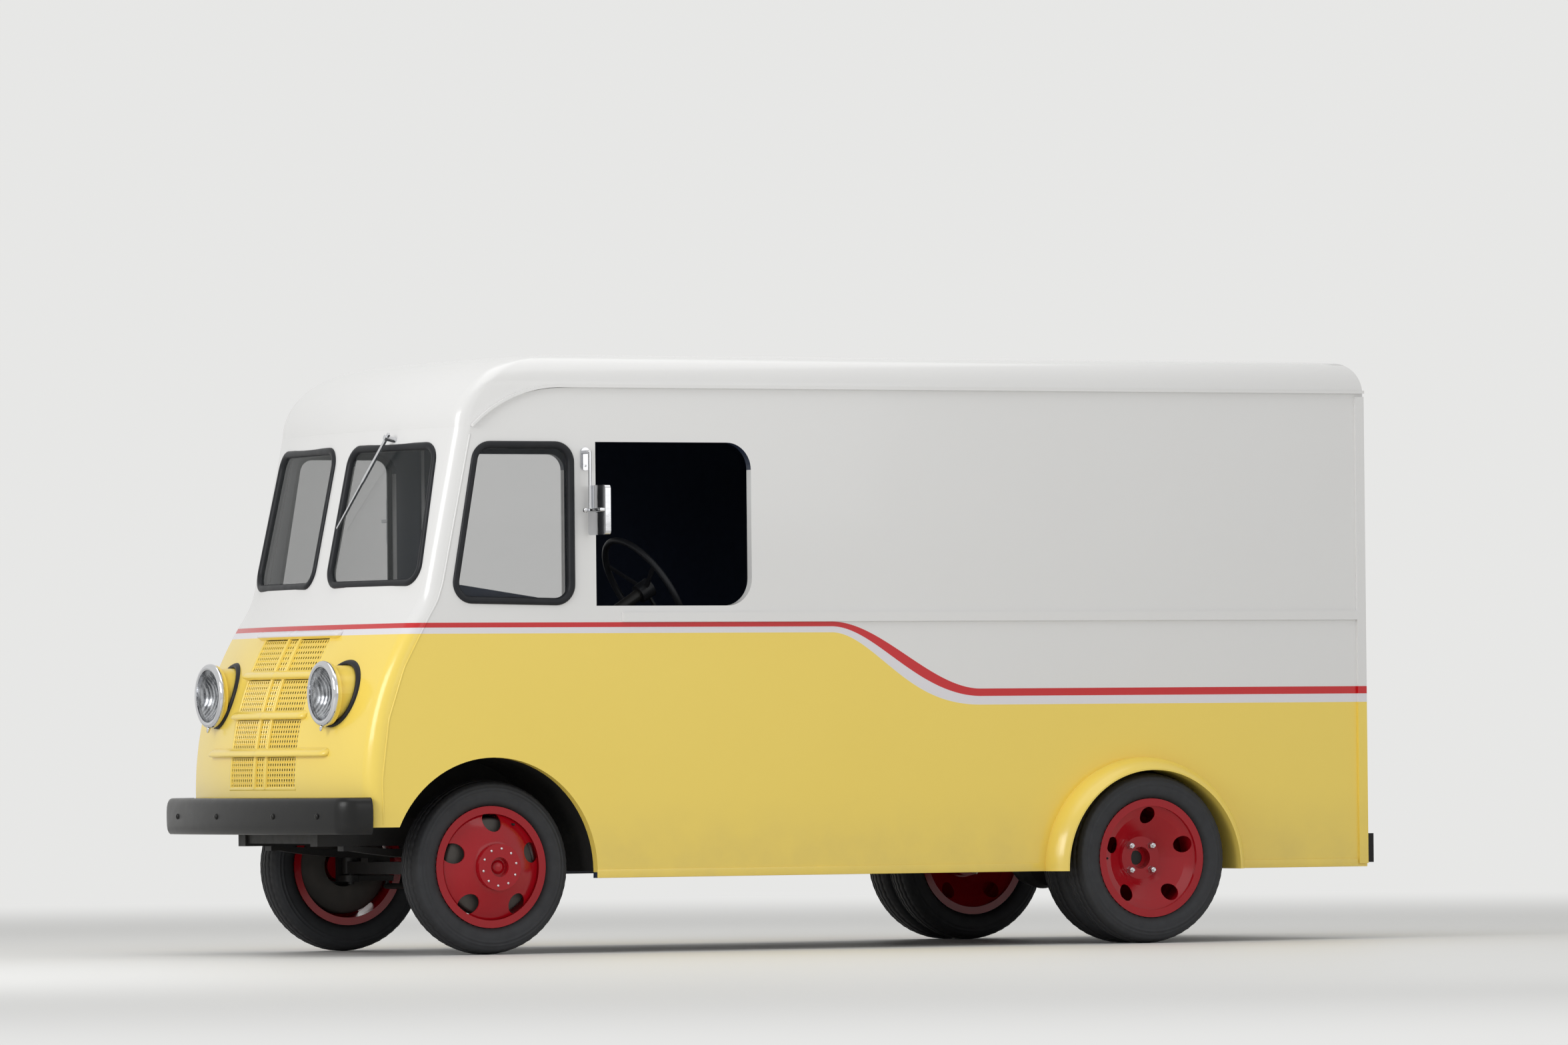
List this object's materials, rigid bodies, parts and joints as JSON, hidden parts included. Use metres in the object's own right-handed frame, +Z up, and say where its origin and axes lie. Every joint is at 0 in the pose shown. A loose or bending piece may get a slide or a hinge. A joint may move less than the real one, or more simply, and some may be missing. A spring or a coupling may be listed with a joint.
{
  "type": "walk-in delivery van",
  "caption": "Compact walk-in delivery van with bowed nose, split windshield, round headlamps, twin rear tyres, sliding side door and hinged back doors; drives and steers.",
  "frame": {"origin": "on the road under the middle of the van's bounding box", "axes": "+Z up, -Y forward, +X to the van's left, the driver's side"},
  "size_m": [1.836, 4.47, 2.205],
  "materials": {
    "frame_black": "satin",
    "engine_iron": "matte",
    "exhaust_steel": "matte",
    "interior_blue": "satin",
    "underbody_black": "matte",
    "yellow_paint": "gloss",
    "white_paint": "gloss",
    "seal_rubber": "satin",
    "window_glass": "clear",
    "bumper_black": "satin",
    "lamp_black": "gloss",
    "bright_metal": "polished",
    "lamp_glass": "prism moulded",
    "seat_brown": "satin",
    "wheel_black": "gloss",
    "wheel_red": "gloss",
    "tyre_rubber": "matte"
  },
  "bodies": {
    "van": {"chassis_frame": "frame_black", "front_axle": "frame_black", "leaf_springs": "frame_black", "rear_axle": "frame_black", "engine_block": "engine_iron", "propeller_shaft": "frame_black", "exhaust": "exhaust_steel", "cab_floor": "interior_blue", "load_floor": "interior_blue", "wheel_housings": "underbody_black", "nose_panel": "yellow_paint", "windshield_panel": "white_paint", "window_seals": "seal_rubber", "window_glass": "window_glass", "side_lower_left": "yellow_paint", "side_lower_right": "yellow_paint", "side_upper_left": "white_paint", "side_upper_right": "white_paint", "roof": "white_paint", "mouldings": "white_paint", "rear_flares": "yellow_paint", "rear_frame": "white_paint", "front_bumper": "bumper_black", "rear_bumper": "bumper_black", "headlamp_shells": "lamp_black", "headlamp_rings": "bright_metal", "headlamp_lenses": "lamp_glass", "grille_screens": "yellow_paint", "grille_bars": "yellow_paint", "mirrors": "bright_metal", "wiper": "bright_metal", "dash": "interior_blue", "engine_cover": "interior_blue", "driver_seat": "seat_brown", "steering_column": "interior_blue"},
    "left_knuckle": {"knuckle_left": "frame_black"},
    "right_knuckle": {"knuckle_right": "frame_black"},
    "tie_bar": {"tie_rod": "frame_black"},
    "front_left_wheel": {"front_wheel_left": "wheel_red", "front_tyre_left": "tyre_rubber"},
    "front_right_wheel": {"front_wheel_right": "wheel_red", "front_tyre_right": "tyre_rubber"},
    "rear_left_wheels": {"rear_wheels_left": "wheel_red", "rear_tyres_left": "tyre_rubber"},
    "rear_right_wheels": {"rear_wheels_right": "wheel_red", "rear_tyres_right": "tyre_rubber"},
    "hand_wheel": {"steering_wheel": "wheel_black"},
    "sliding_door": {"side_door": "white_paint", "side_door_glass": "window_glass"},
    "back_door_left": {"rear_door_left": "white_paint", "rear_glass_left": "window_glass"},
    "back_door_right": {"rear_door_right": "white_paint", "rear_glass_right": "window_glass"}
  },
  "joints": [
    {"name": "left_steer", "type": "hinge", "parent": "van", "child": "left_knuckle", "pos_m": [0.52, -1.497, 0.32], "axis": [0, 0, 1], "range_deg": [-28, 28]},
    {"name": "right_steer", "type": "hinge", "parent": "van", "child": "right_knuckle", "pos_m": [-0.52, -1.497, 0.32], "axis": [0, 0, 1], "range_deg": [-28, 28]},
    {"name": "tie_rod_pivot", "type": "hinge", "parent": "left_knuckle", "child": "tie_bar", "pos_m": [0.52, -1.347, 0.25], "axis": [0, 0, 1], "range_deg": [-28, 28]},
    {"name": "steering_wheel_turn", "type": "hinge", "parent": "van", "child": "hand_wheel", "pos_m": [0.4, -0.722, 1.335], "axis": [0, 0.8415, 0.5403], "range_deg": [-476, 476]},
    {"name": "front_left_spin", "type": "hinge", "parent": "left_knuckle", "child": "front_left_wheel", "pos_m": [0.604, -1.497, 0.32], "axis": [-1, 0, 0], "continuous": true},
    {"name": "front_right_spin", "type": "hinge", "parent": "right_knuckle", "child": "front_right_wheel", "pos_m": [-0.604, -1.497, 0.32], "axis": [-1, 0, 0], "continuous": true},
    {"name": "rear_left_spin", "type": "hinge", "parent": "van", "child": "rear_left_wheels", "pos_m": [0.6945, 1.183, 0.32], "axis": [-1, 0, 0], "continuous": true},
    {"name": "rear_right_spin", "type": "hinge", "parent": "van", "child": "rear_right_wheels", "pos_m": [-0.6945, 1.183, 0.32], "axis": [-1, 0, 0], "continuous": true},
    {"name": "side_door_slide", "type": "slide", "parent": "van", "child": "sliding_door", "axis": [0, 1, 0], "range_m": [0, 0.64]},
    {"name": "back_door_left_hinge", "type": "hinge", "parent": "van", "child": "back_door_left", "pos_m": [0.65, 2.185, 1.2], "axis": [0, 0, -1], "range_deg": [0, 105]},
    {"name": "back_door_right_hinge", "type": "hinge", "parent": "van", "child": "back_door_right", "pos_m": [-0.65, 2.185, 1.2], "axis": [0, 0, 1], "range_deg": [0, 105]}
  ],
  "couplings": [
    {"joint": "right_steer", "follows": "left_steer", "ratio": 1},
    {"joint": "tie_rod_pivot", "follows": "left_steer", "ratio": -1},
    {"joint": "steering_wheel_turn", "follows": "left_steer", "ratio": 16}
  ]
}
